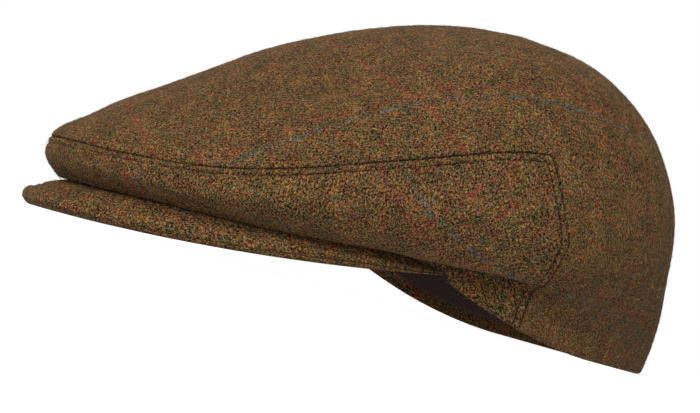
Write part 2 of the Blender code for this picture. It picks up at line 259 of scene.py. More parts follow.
def peakTaper(angle):
    return 1 - peakSizes["hornThinning"] * ease(np.abs(angle) / cornerAngle, peakSizes["hornStart"])


def peakWall(angle):
    return (peakSizes["upperWall"] + peakSizes["underWall"]) * peakTaper(angle) + capSizes["seamGap"]


def peakTopHeight(angle, reach):
    return peakUnderHeight(angle, reach) + peakWall(angle)


def standsUp(turn):
    return ease(turn / cornerAngle, capSizes["standFrom"], capSizes["standTo"])


def levelTable(turn):
    # Reach and height of every level in each direction
    rim, bulge = rimReach(turn), bulgeReach(turn)
    free = ease(turn - cornerAngle, 0, capSizes["hemDrop"] * peakSizes["hornMargin"])
    crease = alongStations(levelHeight["crease"], turn) * capSizes["crownHeight"]
    reaches, heights = [], []
    for name in levelNames:
        if name in lowerReach:
            reach = rim + (bulge - rim) * alongStations(lowerReach[name], turn)
        else:
            reach = bulge * alongStations(upperReach[name], turn)
        if name == "hem":
            reach = reach - capSizes["wall"] * (1 - standsUp(turn))
            onPeak = peakTopHeight(np.minimum(turn, cornerAngle), reach) + capSizes["layClearance"]
            height = onPeak + (rimHeight(turn) - onPeak) * free
        elif name == "band":
            height = (heights[0] + crease) / 2
        else:
            height = alongStations(levelHeight[name], turn) * capSizes["crownHeight"]
        reaches.append(reach)
        heights.append(height)
    reaches.append(np.zeros_like(turn))
    heights.append(np.full_like(turn, capSizes["crownHeight"]))
    return np.array(reaches), np.array(heights)


def crownSection(angle, t):
    # Reach and height at t: whole numbers are the levels, the last one is the apex
    turn = turnFromFront(angle)
    reaches, heights = levelTable(turn)
    points = np.stack([reaches, heights])
    runs = np.diff(points, axis=1)
    chord = np.sqrt((runs ** 2).sum(axis=0))
    slopes = np.zeros_like(points)
    before, after = runs[:, :-1] / chord[:-1], runs[:, 1:] / chord[1:]
    share = chord[:-1] / (chord[:-1] + chord[1:])
    slopes[:, 1:-1] = before * (1 - share) + after * share
    slopes[:, 0] = runs[:, 0] / chord[0]
    slopes[0, -1] = -1.0
    i = np.minimum(t.astype(int), apexLevel - 1)
    n = np.arange(len(t))
    length = chord[i, n]
    reach, height = (
        hermite(p[i, n], p[i + 1, n], m[i, n] * length, m[i + 1, n] * length, t - i)
        for p, m in zip(points, slopes)
    )
    ahead = np.minimum(turn, cornerAngle)
    onPeak = peakTopHeight(ahead, reach) + capSizes["layClearance"]
    lying = (turn < cornerAngle) & (reach < peakReach(turn))
    settled = onPeak + (height - onPeak) * standsUp(turn)
    height = np.where(lying & (t <= creaseLevel), settled, height)
    # The cloth meets the peak in a soft turn, not a corner
    over = height - onPeak
    soft = capSizes["layTurn"] * (1 - standsUp(turn))
    return reach, np.where(lying, onPeak + (over + np.sqrt(over ** 2 + soft ** 2)) / 2, height)


def crownPoint(angle, t):
    angle, t = np.broadcast_arrays(angle, t)
    reach, height = crownSection(angle.ravel(), t.ravel())
    return place(angle.ravel(), reach, height).reshape(angle.shape + (3,))


def seamAngle(t):
    return np.radians(np.interp(t, np.arange(len(uprightSeam)), uprightSeam))


def seamReach(t):
    # Distance from the centre at the upright seam, kept for the dome above it
    t = np.minimum(t, seamLevel)
    return crownSection(seamAngle(t.ravel()), t.ravel())[0].reshape(t.shape)


print("shape of the cap set out")

# Panels: grids of points at real distances along the cloth, finer beside seams and stitches

clothSizes = {
    "roll": 1.1 * mm,             # radius of the cloth's edge where it turns into a seam
    "hemRoll": 1.8 * mm,          # the folded hem is round outside and nearly square inside
    "hemRollInside": 0.3 * mm,
    "hemSquare": 3.0 * mm,        # height over which the hem's square cut fades
    "stitchInset": 3.0 * mm,      # stitch line beside a seam
    "stitchDip": 0.65 * mm,
    "stitchDipWidth": 0.62 * mm,
    # painted shade along the stitch line beside a seam, as a share of that in its ditch
    "stitchShade": 0.5,
    "waviness": 0.22 * mm,        # slow unevenness of steamed woollen cloth
    "waveLengths": (0.048, 0.033, 0.021),
    "calmApex": 20 * mm,          # the waves die away towards the highest point
    # width of the painted shade in the ditch of a seam
    "seamShadeWidth": 0.75 * mm,
    "noseFirmness": 0.35,         # share of the seams' painted shade and stitch thickness kept over the nose; 1 at the sides
    "firmFrom": 22.0,             # degrees from the front
    "firmTo": 54.0,
    # Painted shade under the side's overhang
    "foldAt": 2.12,               # in levels, just above the crease (2), as are its shade's three reaches
    "foldBelow": 0.85,
    "foldAbove": 1.25,
    "pinchDraw": 0.95,
    "pinchAt": 86.0,              # degrees from the front, ahead of the upright seam
    "pinchOver": 15.0,
    "foldShade": 0.75,
    "foldLeast": 0.55,            # share of the shade away from the pinch
    "levelGap": 0.004,            # half the top seam's gap, in levels
    "apexCap": 0.02,              # the grid ends this far below the apex, in levels
    "apexStub": 2.2 * mm,         # and so far along the cloth
    "crispAngle": math.radians(55),
}
checkCut = {                      # how the check lies on each panel, fitted to its lines in the photo
    "topBow": 3.0,                # per metre
    "bowFrom": -0.174,            # metres along the cloth, where the bow sets in and over what length
    "bowOver": 0.094,
    "backDraw": 0.08,
    "backArc": 0.092,
    "straightTo": 0.060,
    "sideCurve": 0.186,
    "sideEase": 0.92,
    "sideShift": 0.0574,
    "sideDrop": 0.0625,
}
# Rows or columns in from an edge, with a stitch line beside it or without
stitchedEdge = np.array([0, 0.15, 0.4, 0.75, 1.1, 1.7, 2.25, 2.65, 3.0, 3.35, 3.75, 4.5, 5.6]) * mm
plainEdge = np.array([0, 0.15, 0.4, 0.75, 1.1, 1.8, 2.9]) * mm


def clothWaves(points, seed=5, directions=4):
    # Sum of broad waves in fixed random directions
    rng = np.random.default_rng(seed)
    total = np.zeros(points.shape[:-1])
    lengths = clothSizes["waveLengths"]
    for length in lengths:
        for _ in range(directions):
            direction = unit(rng.normal(size=3))
            phase = rng.uniform(0, 2 * math.pi)
            total += np.sin(points @ direction * 2 * math.pi / length + phase) * length / lengths[0]
    return total * clothSizes["waviness"] / directions


def gridNormals(points, ring=False):
    # Unit normals of a grid of points, rows first
    rows = np.gradient(points, axis=0)
    if ring:
        wrapped = np.concatenate([points[:, -1:], points, points[:, :1]], axis=1)
        columns = np.gradient(wrapped, axis=1)[:, 1:-1]
    else:
        columns = np.gradient(points, axis=1)
    return unit(np.cross(columns, rows))


def quarterRoll(distance, radius):
    # How far a cloth's face turns in, this far from its edge
    gap = 1 - np.clip(distance / radius, 0.0, 1.0)
    return radius * (1 - np.sqrt(1 - gap ** 2))


def stitchLine(distance):
    # 1 in the stitch line beside a seam, 0 away from it
    return bell(distance, clothSizes["stitchInset"], clothSizes["stitchDipWidth"])


def seamShade(distance, stitched):
    # Painted shade of a pressed seam and its stitch line: 1 in the ditch, less along the stitches
    paintedShade = bell(distance, 0, clothSizes["seamShadeWidth"])
    return np.maximum(paintedShade, clothSizes["stitchShade"] * stitchLine(distance)) if stitched else paintedShade


def seamFirmness(points):
    # The seam lies deep at the sides, and is steamed nearly flat over the nose; this scales the seams'
    # painted shade and the thickness of their stitches
    turn = np.degrees(np.abs(np.arctan2(points[..., 0], centreY - points[..., 1])))
    least = clothSizes["noseFirmness"]
    return least + (1 - least) * ease(turn, clothSizes["firmFrom"], clothSizes["firmTo"])


def foldShade(angle, t):
    # Painted shade on the cloth under the side's overhang, most of all where it is pinched ahead of the
    # upright seam
    fold, least = clothSizes["foldAt"], clothSizes["foldLeast"]
    pinch = bell(np.degrees(turnFromFront(angle)), clothSizes["pinchAt"], clothSizes["pinchOver"])
    upward = clothSizes["foldAbove"] - clothSizes["pinchDraw"] * pinch
    reach = np.where(t < fold, clothSizes["foldBelow"], upward)
    return clothSizes["foldShade"] * (least + (1 - least) * pinch) * bell(t, fold, reach)


def rowPlan(lengths, splits, counts, lowEdge, highEdge):
    # Distances of the rows along each column, the same number of rows in all of them
    low = np.repeat(lowEdge[:, None], len(lengths), axis=1)
    high = lengths - np.repeat(highEdge[::-1][:, None], len(lengths), axis=1)
    stops = [low[-1], *splits, high[0]]
    rows = [low]
    for start, end, count in zip(stops, stops[1:], counts):
        shares = np.arange(1, count + 1)[:, None] / count
        rows.append(start + (end - start) * shares)
    rows[-1] = rows[-1][:-1]
    return np.concatenate([*rows, high])


def layOut(columnAngle, columnCount, levels, counts, lowEdge, highEdge):
    # The t and the angle of every grid point, and its distance from the panel's lower and upper edge.
    # Rows fall on the levels given, with that many steps between them
    samples = np.unique(np.concatenate([np.linspace(levels[0], levels[-1], 200), levels]))
    fineT = np.repeat(samples[:, None], columnCount, axis=1)
    along = runAlong(crownPoint(columnAngle(fineT), fineT))
    lengths = along[-1]
    splits = [along[np.searchsorted(samples, level)] for level in levels[1:-1]]
    plan = rowPlan(lengths, splits, counts, lowEdge, highEdge)
    t = np.stack([np.interp(plan[:, k], along[:, k], samples) for k in range(columnCount)], axis=1)
    return t, columnAngle(t), plan, lengths - plan


def columnsRound(middle, edge, count):
    # Columns from one upright seam to the other, round the front (middle 0) or the back (middle pi)
    inner = np.linspace(-1, 1, count)
    ends = np.ones(len(edge) - 1)
    shares = np.concatenate([-ends, inner, ends])
    insets = np.concatenate([-edge[:-1], inner * edge[-1], edge[:-1][::-1]])
    inward = insets + capSizes["seamGap"] / 2 * np.sign(insets) * np.abs(shares)

    def angles(t):
        return middle + shares * np.abs(middle - seamAngle(t)) - inward / seamReach(t)

    return angles, len(shares)


def arcFromFront(angle, half=720):
    # Distance round the cap at the bulge, from the front
    fine = np.linspace(-math.pi, math.pi, 2 * half + 1)
    reach = crownSection(fine, np.full_like(fine, float(bulgeLevel)))[0]
    along = runRound(fine, reach)
    return np.interp(angle, fine, along - along[half])


def newShell():
    return {"points": [], "cloth": [], "paintedShade": [], "faces": [], "count": 0}


def addPoints(shell, points, cloth, paintedShade=0.0):
    # Adds a grid of points with their place on the flat cloth and in its check, and how much painted shade
    # they carry, and returns their numbers
    first = shell["count"]
    flat = points.reshape(-1, 3)
    shell["points"].append(flat)
    shell["cloth"].append(np.stack(cloth, axis=-1).reshape(-1, 4))
    shell["paintedShade"].append(np.broadcast_to(paintedShade, points.shape[:-1]).ravel())
    shell["count"] += len(flat)
    return (first + np.arange(len(flat))).reshape(points.shape[:-1])


def addSkin(shell, index, ring=False, flip=False):
    if ring:
        index = np.concatenate([index, index[:, :1]], axis=1)
    corners = [index[:-1, :-1], index[:-1, 1:], index[1:, 1:], index[1:, :-1]]
    if flip:
        corners.reverse()
    shell["faces"].append(np.stack([c.ravel() for c in corners], axis=1))


def addFaces(shell, outside, inside, cloth, paintedShade=0.0, ring=False):
    # Adds the outside and the inside of a panel, and returns the numbers of their points
    outer = addPoints(shell, outside, cloth, paintedShade)
    inner = addPoints(shell, inside, cloth)
    addSkin(shell, outer, ring)
    addSkin(shell, inner, ring, flip=True)
    return outer, inner


def addWall(shell, outerPath, innerPath):
    # Closes a shell along one edge; the faces' direction is settled at the end
    addSkin(shell, np.stack([outerPath, innerPath]))


def addObject(name, data):
    thing = bpy.data.objects.new(name, data)
    bpy.context.scene.collection.objects.link(thing)
    return thing


def finishShell(name, shell, material):
    points = np.concatenate(shell["points"])
    cloth = np.concatenate(shell["cloth"])
    faces = [tuple(dict.fromkeys(f)) for f in np.concatenate(shell["faces"]).tolist()]
    faces += shell.get("caps", [])
    mesh = bpy.data.meshes.new(name)
    mesh.from_pydata(points.tolist(), [], faces)
    work = bmesh.new()
    work.from_mesh(mesh)
    bmesh.ops.recalc_face_normals(work, faces=work.faces)
    work.to_mesh(mesh)
    work.free()
    corners = np.zeros(len(mesh.loops), dtype=np.int32)
    mesh.loops.foreach_get("vertex_index", corners)
    for first, layerName in ((0, "cloth"), (2, "check")):
        layer = mesh.uv_layers.new(name=layerName)
        layer.data.foreach_set("uv", cloth[corners, first:first + 2].ravel())
    shadeLayer = mesh.attributes.new("paintedShade", "FLOAT", "POINT")
    shadeLayer.data.foreach_set("value", np.concatenate(shell["paintedShade"]))
    mesh.shade_smooth()
    mesh.set_sharp_from_angle(angle=clothSizes["crispAngle"])
    mesh.materials.append(material)
    return addObject(name, mesh)


def rideAndReplace(piece, slot, *nodes):
    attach(piece, "root")
    if nodes:
        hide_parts(*nodes)
    print(piece.name, len(piece.data.polygons), "faces")


def standIn(points, normals, depth):
    return points - normals * depth[..., None]


def squareHem(normals, angle, distHem):
    # The hem is cut square to the cloth where it stands up from the rim
    outward = place(angle, 1.0, 0.0) - np.array([0.0, centreY, 0.0])
    blend = (standsUp(turnFromFront(angle)) * (1 - ease(distHem, 0, clothSizes["hemSquare"])))[..., None]
    return unit(normals * (1 - blend) + outward * blend)


def hemmedFaces(points, normals, distHem, depth):
    # The outside and the inside of a panel that ends below in the folded hem
    waves = clothWaves(points)
    outside = depth + quarterRoll(distHem, clothSizes["hemRoll"]) - waves
    inside = capSizes["wall"] - quarterRoll(distHem, clothSizes["hemRollInside"]) - waves
    return standIn(points, normals, outside), standIn(points, normals, inside)


def buildSidePanel(material):
    # From hem to top seam, wrapped round the front between the upright seams
    columnAngle, count = columnsRound(0.0, stitchedEdge, 170)
    levels = (0.0, creaseLevel, seamLevel - clothSizes["levelGap"])
    t, angle, distHem, distTop = layOut(columnAngle, count, levels, (18, 30), plainEdge, stitchedEdge)
    points = crownPoint(angle, t)
    normals = squareHem(gridNormals(points), angle, distHem)
    nearest = np.minimum(distTop, (seamAngle(t) - np.abs(angle)) * seamReach(t))
    depth = quarterRoll(nearest, clothSizes["roll"]) + clothSizes["stitchDip"] * stitchLine(nearest)
    outside, inside = hemmedFaces(points, normals, distHem, depth)
    cloth = sideCloth(arcFromFront(angle), distTop)
    # Painted shade: the seams' ditches and stitch lines, and the cloth under the overhang
    shade = np.maximum(seamShade(nearest, True) * seamFirmness(points), foldShade(angle, t))
    shell = newShell()
    outer, inner = addFaces(shell, outside, inside, cloth, shade)
    for edge in (np.s_[0, :], np.s_[-1, :], np.s_[:, 0], np.s_[:, -1]):
        addWall(shell, outer[edge], inner[edge])
    rideAndReplace(finishShell("sidePanelTweed", shell, material), "tweed", "side_panel")
    return outside, normals


def apexCloth(angle, distance):
    # Place on the flat cloth of the one-piece top, laid out from its highest point. The check runs straight
    # over the front, bows a little towards the sides, and follows the head round at the back
    across, along = distance * np.sin(angle), -distance * np.cos(angle)
    behind = np.maximum(turnFromFront(angle) - math.pi / 2, 0.0)
    bow = checkCut["topBow"] * across ** 2 * ease(along - checkCut["bowFrom"], 0, checkCut["bowOver"])
    roundTheHead = distance * (1 + checkCut["backDraw"] * np.sin(behind)) * np.sign(np.sin(angle))
    checkAcross = np.where(behind > 0, roundTheHead, across)
    checkAlong = np.where(behind > 0, checkCut["backArc"] * behind, along) - bow
    return [across, along, checkAcross, checkAlong]


def sideCloth(along, down):
    # The side panel is cut straight round the front, and on a curve behind that
    past = np.maximum(np.abs(along) - checkCut["straightTo"], 0.0)
    radius = checkCut["sideCurve"]
    curved = (radius - down) * np.sin(past / radius)
    drop = np.where(past > 0, radius - (radius - down) * np.cos(past / radius), down)
    straight = np.minimum(np.abs(along), checkCut["straightTo"])
    side = np.sign(along)
    checkAcross = (straight + curved * checkCut["sideEase"] - checkCut["sideShift"]) * side
    return [(straight + curved) * side, -drop, checkAcross, drop - checkCut["sideDrop"]]


def buildTopPanel(material):
    # One piece of cloth: the dome, and the drape behind the upright seams down to the hem
    frontAngle, frontCount = columnsRound(0.0, plainEdge, 150)
    backAngle, backCount = columnsRound(math.pi, plainEdge, 110)

    def ringAngle(t):
        return np.concatenate([frontAngle(t[:, :frontCount]), backAngle(t[:, frontCount:])], axis=1)

    ringCount = frontCount + backCount
    seamEdge = seamLevel + clothSizes["levelGap"]
    levels = (seamEdge, apexLevel - clothSizes["apexCap"])
    t, angle, distTop, toApex = layOut(ringAngle, ringCount, levels, (78,), plainEdge, plainEdge[:1])
    isBack = np.arange(ringCount) >= frontCount
    points = crownPoint(angle, t)
    normals = gridNormals(points, ring=True)
    beyond = np.maximum(turnFromFront(angle) - seamAngle(t), 0.0) * seamReach(t)
    nearest = np.hypot(distTop, beyond)
    waves = clothWaves(points) * ease(toApex, 0, clothSizes["calmApex"])
    outside = standIn(points, normals, quarterRoll(nearest, clothSizes["roll"]) - waves)
    inside = standIn(points, normals, capSizes["wall"] - waves)
    cloth = apexCloth(angle, toApex + clothSizes["apexStub"])
    shell = newShell()
    # Painted shade in the ditch of the top seam
    shade = seamShade(nearest, False) * seamFirmness(points)
    outer, inner = addFaces(shell, outside, inside, cloth, shade, ring=True)
    shell["caps"] = [tuple(outer[-1].tolist()), tuple(inner[-1][::-1].tolist())]
    addWall(shell, outer[0, ~isBack], inner[0, ~isBack])

    # The drape hangs from the back of the dome's lowest row
    t, angle, distHem, distUp = layOut(backAngle, backCount, (0.0, seamEdge), (42,), plainEdge, plainEdge[:1])
    drape = crownPoint(angle, t)
    drape[-1] = points[0, isBack]
    drapeNormals = squareHem(gridNormals(drape), angle, distHem)
    drapeNormals[-1] = normals[0, isBack]
    distSeam = np.maximum((turnFromFront(angle) - seamAngle(t)) * seamReach(t), 0.0)
    roll = quarterRoll(distSeam, clothSizes["roll"])
    drapeOutside, drapeInside = hemmedFaces(drape, drapeNormals, distHem, roll)
    fromApex = distUp + (toApex[0, isBack] + clothSizes["apexStub"])
    cloth = apexCloth(angle[:-1], fromApex[:-1])
    # Painted shade in the ditches of the upright seams and under the overhang
    shade = np.maximum(seamShade(distSeam, False), foldShade(angle, t))
    drapeOuter = np.concatenate([addPoints(shell, drapeOutside[:-1], cloth, shade[:-1]), outer[:1, isBack]])
    drapeInner = np.concatenate([addPoints(shell, drapeInside[:-1], cloth), inner[:1, isBack]])
    addSkin(shell, drapeOuter)
    addSkin(shell, drapeInner, flip=True)
    addWall(shell, drapeOuter[0], drapeInner[0])
    # Upright edges, and the two short ends between the dome's front and back columns
    for column in (0, -1):
        addWall(shell, drapeOuter[:, column], drapeInner[:, column])
    for ends in ([frontCount - 1, frontCount], [-1, 0]):
        addWall(shell, outer[0, ends], inner[0, ends])
    rideAndReplace(finishShell("topPanelTweed", shell, material), "tweed", "top_panel")
    return (outside, normals), (drapeOutside, drapeNormals)


peakLook = {
    "frontSwell": 2.3 * mm,       # the front edge is fuller than the board in it
    "swellFrom": 4 * mm,          # how far in from the edge the fullness starts to die away
    "swellReach": 17 * mm,
    "frontFrom": 20.0,            # degrees from the front where the full front starts and stops easing off
    "frontTo": 58.0,
    "underTuck": 0.5 * mm,        # the under cloth is drawn in behind the front edge
    "tuckDrop": 0.2 * mm,         # and the upper cloth rolls down over it
    "tuckReach": 1.6 * mm,
    "lipCurl": 0.25 * mm,
    "softEdge": 0.75 * mm,        # radius of each layer's cut edge
    "stitchDip": 0.3 * mm,
    "stitchDipWidth": 0.5 * mm,
    # painted shade along the stitch groove, as a share
    "stitchShade": 0.75,
    "sections": 230,
    "edgeSteps": 14,
    "napFrom": 40,                # the row of a section that nap starts at
}
# Rows from the outer edge in to the stitches and past them
peakMargin = np.array([6.5, 5.2, 4.2, 3.7, 3.3, 3.0, 2.7, 2.3, 1.9, 1.4, 0.9, 0.4]) * mm


def peakFront(angle):
    return 1 - ease(np.abs(np.degrees(angle)), peakLook["frontFrom"], peakLook["frontTo"])


def buildPeakLayer(name, slot, node, isUpper, material):
    # One layer of the peak: sections from horn to horn, each a closed loop
    sections, rim = peakLook["sections"], peakLook["edgeSteps"]
    angle = (cornerAngle - peakSizes["hornMargin"] * 0.1) * np.linspace(-1, 1, sections)
    taper = peakTaper(angle)
    wall = peakWall(angle)
    under = peakSizes["underWall"] * taper
    low = under + capSizes["seamGap"] if isUpper else np.zeros_like(under)
    high = wall if isUpper else under
    inner = peakInnerReach(angle)
    width = peakReach(angle) - inner
    rounding = np.minimum(wall * peakSizes["edgeRounding"], width * peakSizes["hornRounding"])
    softEdge = np.minimum(peakLook["softEdge"] * taper, width * 0.2)
    openShares = np.linspace(0, 1, 24)[:-1]
    loopPoints, loopReach, loopShade = [], [], []

    front = peakFront(angle)
    swell = peakLook["frontSwell"] * front

    def addRow(insetShare, inset, lift):
        # The share runs from the inner edge (0) to the stitched margin (1), the inset in from the outer edge
        margin = np.minimum(peakMargin[0], width * 0.5)
        if inset is None:
            out = (width - margin) * insetShare
        else:
            out = width - np.minimum(inset, margin * (inset / peakMargin[0]))
        layer = np.clip((lift - low) / (high - low), 0, 1)
        raised = swell * layer * isUpper
        fading = 1 - ease(width - out - peakLook["swellFrom"], 0, peakLook["swellReach"])
        fullWall = wall + swell
        pull = (fullWall * 0.5 * front + rounding * (1 - front)) * (
            1 - np.sqrt(1 - (2 * np.clip((lift + raised) / fullWall, 0, 1) - 1) ** 2))
        fromSplit = (lift - low) if isUpper else (high - lift)
        tuck = peakLook["lipCurl"] * (1 - layer) ** 3 if isUpper else peakLook["underTuck"]
        pull = pull + quarterRoll(fromSplit, softEdge) * (1 - front) + tuck * front
        drop = peakLook["tuckDrop"] * front * bell(out, width, peakLook["tuckReach"]) * (1 - layer) * isUpper
        height = peakUnderHeight(angle, inner + out) + lift + raised * fading - drop
        groove = 0.0
        if isUpper and inset is not None:
            stitched = bell(inset, clothSizes["stitchInset"], peakLook["stitchDipWidth"])
            groove = peakLook["stitchDip"] * stitched * (lift >= high - 1e-9)
        loopPoints.append(place(angle, inner + (width - pull) * (out / width), height - groove))
        loopReach.append(inner + out)
        # Painted shade along the upper layer's stitch groove
        loopShade.append(np.zeros(sections) + groove / peakLook["stitchDip"] * peakLook["stitchShade"])

    for share in openShares:
        addRow(share, None, low)
    for inset in peakMargin:
        addRow(None, inset, low)
    for k in range(rim + 1):
        step = 0.5 - 0.5 * math.cos(math.pi * k / rim)
        addRow(None, 0.0, low + (high - low) * step)
    for inset in peakMargin[::-1]:
        addRow(None, inset, high)
    for share in openShares[::-1]:
        addRow(share, None, high)
    points = np.stack(loopPoints, axis=1)
    # The cloth runs on round the edge, so its place there is measured along the surface
    run = runAlong(points, axis=1)
    turnRow = len(openShares) + len(peakMargin) + (rim if isUpper else 0)
    reach = np.stack(loopReach, axis=1)
    beyond = (run[:, [turnRow]] - run) * (1 if isUpper else -1)
    k = np.arange(reach.shape[1])
    isPast = (k < turnRow) if isUpper else (k > turnRow)
    reach = np.where(isPast, reach[:, [turnRow]] + beyond, reach)
    across, along = reach * np.sin(angle)[:, None], -reach * np.cos(angle)[:, None]
    shell = newShell()
    index = addPoints(shell, points, [across, along, across, along], np.stack(loopShade, axis=1))
    addSkin(shell, index, ring=True)
    shell["caps"] = [tuple(index[0].tolist()), tuple(index[-1][::-1].tolist())]
    rideAndReplace(finishShell(name, shell, material), slot, node)
    return points


def buildSweatband(material):
    # Ribbed ribbon ring inside the rim, with a rolled lower edge
    columns = 720
    angle = np.linspace(0, 2 * math.pi, columns, endpoint=False)
    shares = np.array([
        0, 0.012, 0.03, 0.06, 0.09, 0.12, 0.2, 0.3, 0.4, 0.5, 0.6, 0.7, 0.8, 0.88, 0.94, 0.98, 1.0])
    reach = rimReach(angle) - capSizes["wall"] - capSizes["seamGap"]
    height = rimHeight(angle) + bandSizes["setUp"]
    shell = newShell()
    outside, inside, cloth = [], [], []
    for share in shares:
        edge = min(share, 1 - share) * bandSizes["height"]
        thin = quarterRoll(np.array(edge), bandSizes["edgeRoll"])
        top = height + bandSizes["height"] * share
        outer = reach - bandSizes["lean"] * share
        outside.append(place(angle, outer - thin, top))
        inside.append(place(angle, outer - bandSizes["wall"] + thin, top))
        cloth.append(np.full(columns, share * bandSizes["height"]))
    cloth = [np.broadcast_to(runRound(angle, reach), (len(shares), columns)), np.array(cloth)] * 2
    outer, inner = addFaces(shell, np.array(outside), np.array(inside), cloth, ring=True)
    for row in (0, -1):
        addSkin(shell, np.stack([outer[row], inner[row]]), ring=True)
    rideAndReplace(finishShell("sweatbandRibbon", shell, material), "ribbon", "sweatband")


def linear(hexColour):
    # sRGB hex to linear colour with alpha
    parts = [int(hexColour[i:i + 2], 16) / 255 for i in (1, 3, 5)]
    return (*[c / 12.92 if c <= 0.04045 else ((c + 0.055) / 1.055) ** 2.4 for c in parts], 1.0)


def fillInputs(tree, node, inputs):
    # Links the inputs that are given as sockets, and sets the others
    for key, value in inputs.items() if isinstance(inputs, dict) else enumerate(inputs):
        if isinstance(value, bpy.types.NodeSocket):
            tree.links.new(value, node.inputs[key])
        else:
            node.inputs[key].default_value = value


def addNode(tree, kind, inputs=(), stops=(), output=0, **settings):
    # Adds a node with its settings, links and colour ramp, and returns one of its outputs, or all of them
    node = tree.nodes.new("ShaderNode" + kind)
    for name, value in settings.items():
        setattr(node, name, value)
    fillInputs(tree, node, inputs)
    if stops:
        ramp = node.color_ramp
        while len(ramp.elements) < len(stops):
            ramp.elements.new(1.0)
        for element, (position, colour) in zip(ramp.elements, stops):
            element.position = position
            element.color = linear(colour) if isinstance(colour, str) else colour
    return node.outputs if output is None else node.outputs[output]


def waveScale(pitch):
    # A wave texture at scale 1 repeats every 2 pi / 20
    return 2 * math.pi / 20 / pitch


def newMaterial(name):
    material = bpy.data.materials.new(name)
    material.use_nodes = True
    tree = material.node_tree
    return material, tree, tree.nodes["Principled BSDF"]


# Brown woollen tweed, a 2/2 twill woven from heather yarns and lightly milled. The eye gets flecks of
# many dyed fibres, faint steep twill lines, broken red and blue check lines and a soft pale bloom of fuzz.
# Shade is painted into it in the seams' ditches, along stitch lines and under the side's overhang
tweedLook = {
    "floatWidth": 0.85,           # mm, one float of yarn
    "floatLength": 1.3,
    "blendWidth": 2.1,            # mm, where one dye gathers in the blend
    "blendLength": 3.1,
    "strandWidth": 1.2,           # mm, a run of yarn of one mix of dyes
    "strandLength": 2.0,
    "strandShare": 0.26,
    "stray": 0.9,                 # mm, how far yarns stray from straight
    "strayScale": 0.9,            # per mm
    "checkStray": 3.0,
    "grain": 0.68,                # mm, clumps of fibre; drawn coarser than single fibres of 0.03
    "grainDark": 0.14,
    "grainLight": 1.96,
    "fuzz": 0.5,                  # mm, the finest light and dark that shows
    "fuzzDepth": 0.8,
    "twillPitch": 1.5,            # mm between twill lines
    "twillSlope": 24.0,           # degrees off the warp
    "twillDepth": 0.40,
    "hairSpacing": 1.7,           # mm between pale fibres
    "hairWidth": 0.022,
    "hairStrength": 0.8,
    "hair": "#8c744c",
    "tip": "#8a7150",             # fibre ends, paler and greyer than the yarn they stand in
    "tipShare": 0.6,
    "tipFrom": 1.0,               # brightness of the clumps that carry tips
    "tipTo": 2.5,
    "cloudSize": 12.0,            # mm, uneven dyeing and wear
    "cloudShare": 0.78,
    "clouds": ((0.38, "#96967a"), (0.50, "#cfc4a8"), (0.62, "#fff0d0")),
    "castSize": 5.0,              # mm, where greener or redder fibre gathers
    "castShare": 1.0,
    "casts": ((0.00, "#84a07c"), (0.35, "#eadfc0"), (0.65, "#f8e2c2"), (1.00, "#ba7468")),
    "checkRepeat": 87.0,          # mm
    "lines": (                    # across (0) or along (1), place in the repeat, yarn, how much of it floats
        (0, 5.0, "#94304c", 0.50), (0, 11.0, "#356894", 0.37),
        (1, 0.0, "#94304c", 0.50), (1, 16.0, "#8a3448", 0.36)),
    "lineWidth": 2.2,
    "lineStrength": 0.8,
    "lineHaze": 0.11,             # the same yarn under the other floats
    "breakWidth": 1.1,            # mm, where a line's yarn dips under the others
    "breakLength": 1.5,
    "gapScale": 0.11,             # per mm, longer stretches where a line fades and returns
    "blend": (                    # dyes from the coolest to the warmest
        (0.00, "#475143"), (0.20, "#555338"), (0.38, "#6a5c34"), (0.50, "#663a2c"), (0.62, "#6c4f2c"),
        (0.80, "#7f5730"), (1.00, "#957044")),
    "strands": (
        (0.00, "#585c4e"), (0.10, "#2c2519"), (0.20, "#745632"), (0.30, "#4c4c36"), (0.40, "#7a4234"),
        (0.50, "#3c3222"), (0.60, "#7e663a"), (0.70, "#4a5146"), (0.80, "#7e5a3a"), (0.90, "#5f5a36"),
        (1.00, "#a48c62")),
    "neps": (
        (0.00, "#2c5a86"), (0.22, "#34705f"), (0.42, "#8a883a"), (0.60, "#b0523c"), (0.80, "#a0304c"),
        (1.00, "#b49c58")),
    "nepShare": 0.20,             # of the floats
    "nepStrength": 0.62,
    "roughness": 0.95,
    "specular": 0.07,
    "sheenWeight": 0.05,
    "sheenRoughness": 0.5,
    "sheenTint": "#c0955f",
    "brightness": 0.97,
    "underShadedBrightness": 0.85,      # painted shade: the peak's under layer is the same tweed drawn darker
    "paintedShadeDark": 0.70,            # taken off where shade is painted: seams' ditches, stitch lines, under the overhang
    "bump": 0.55,
    "bumpHeight": 0.35 * mm,
}


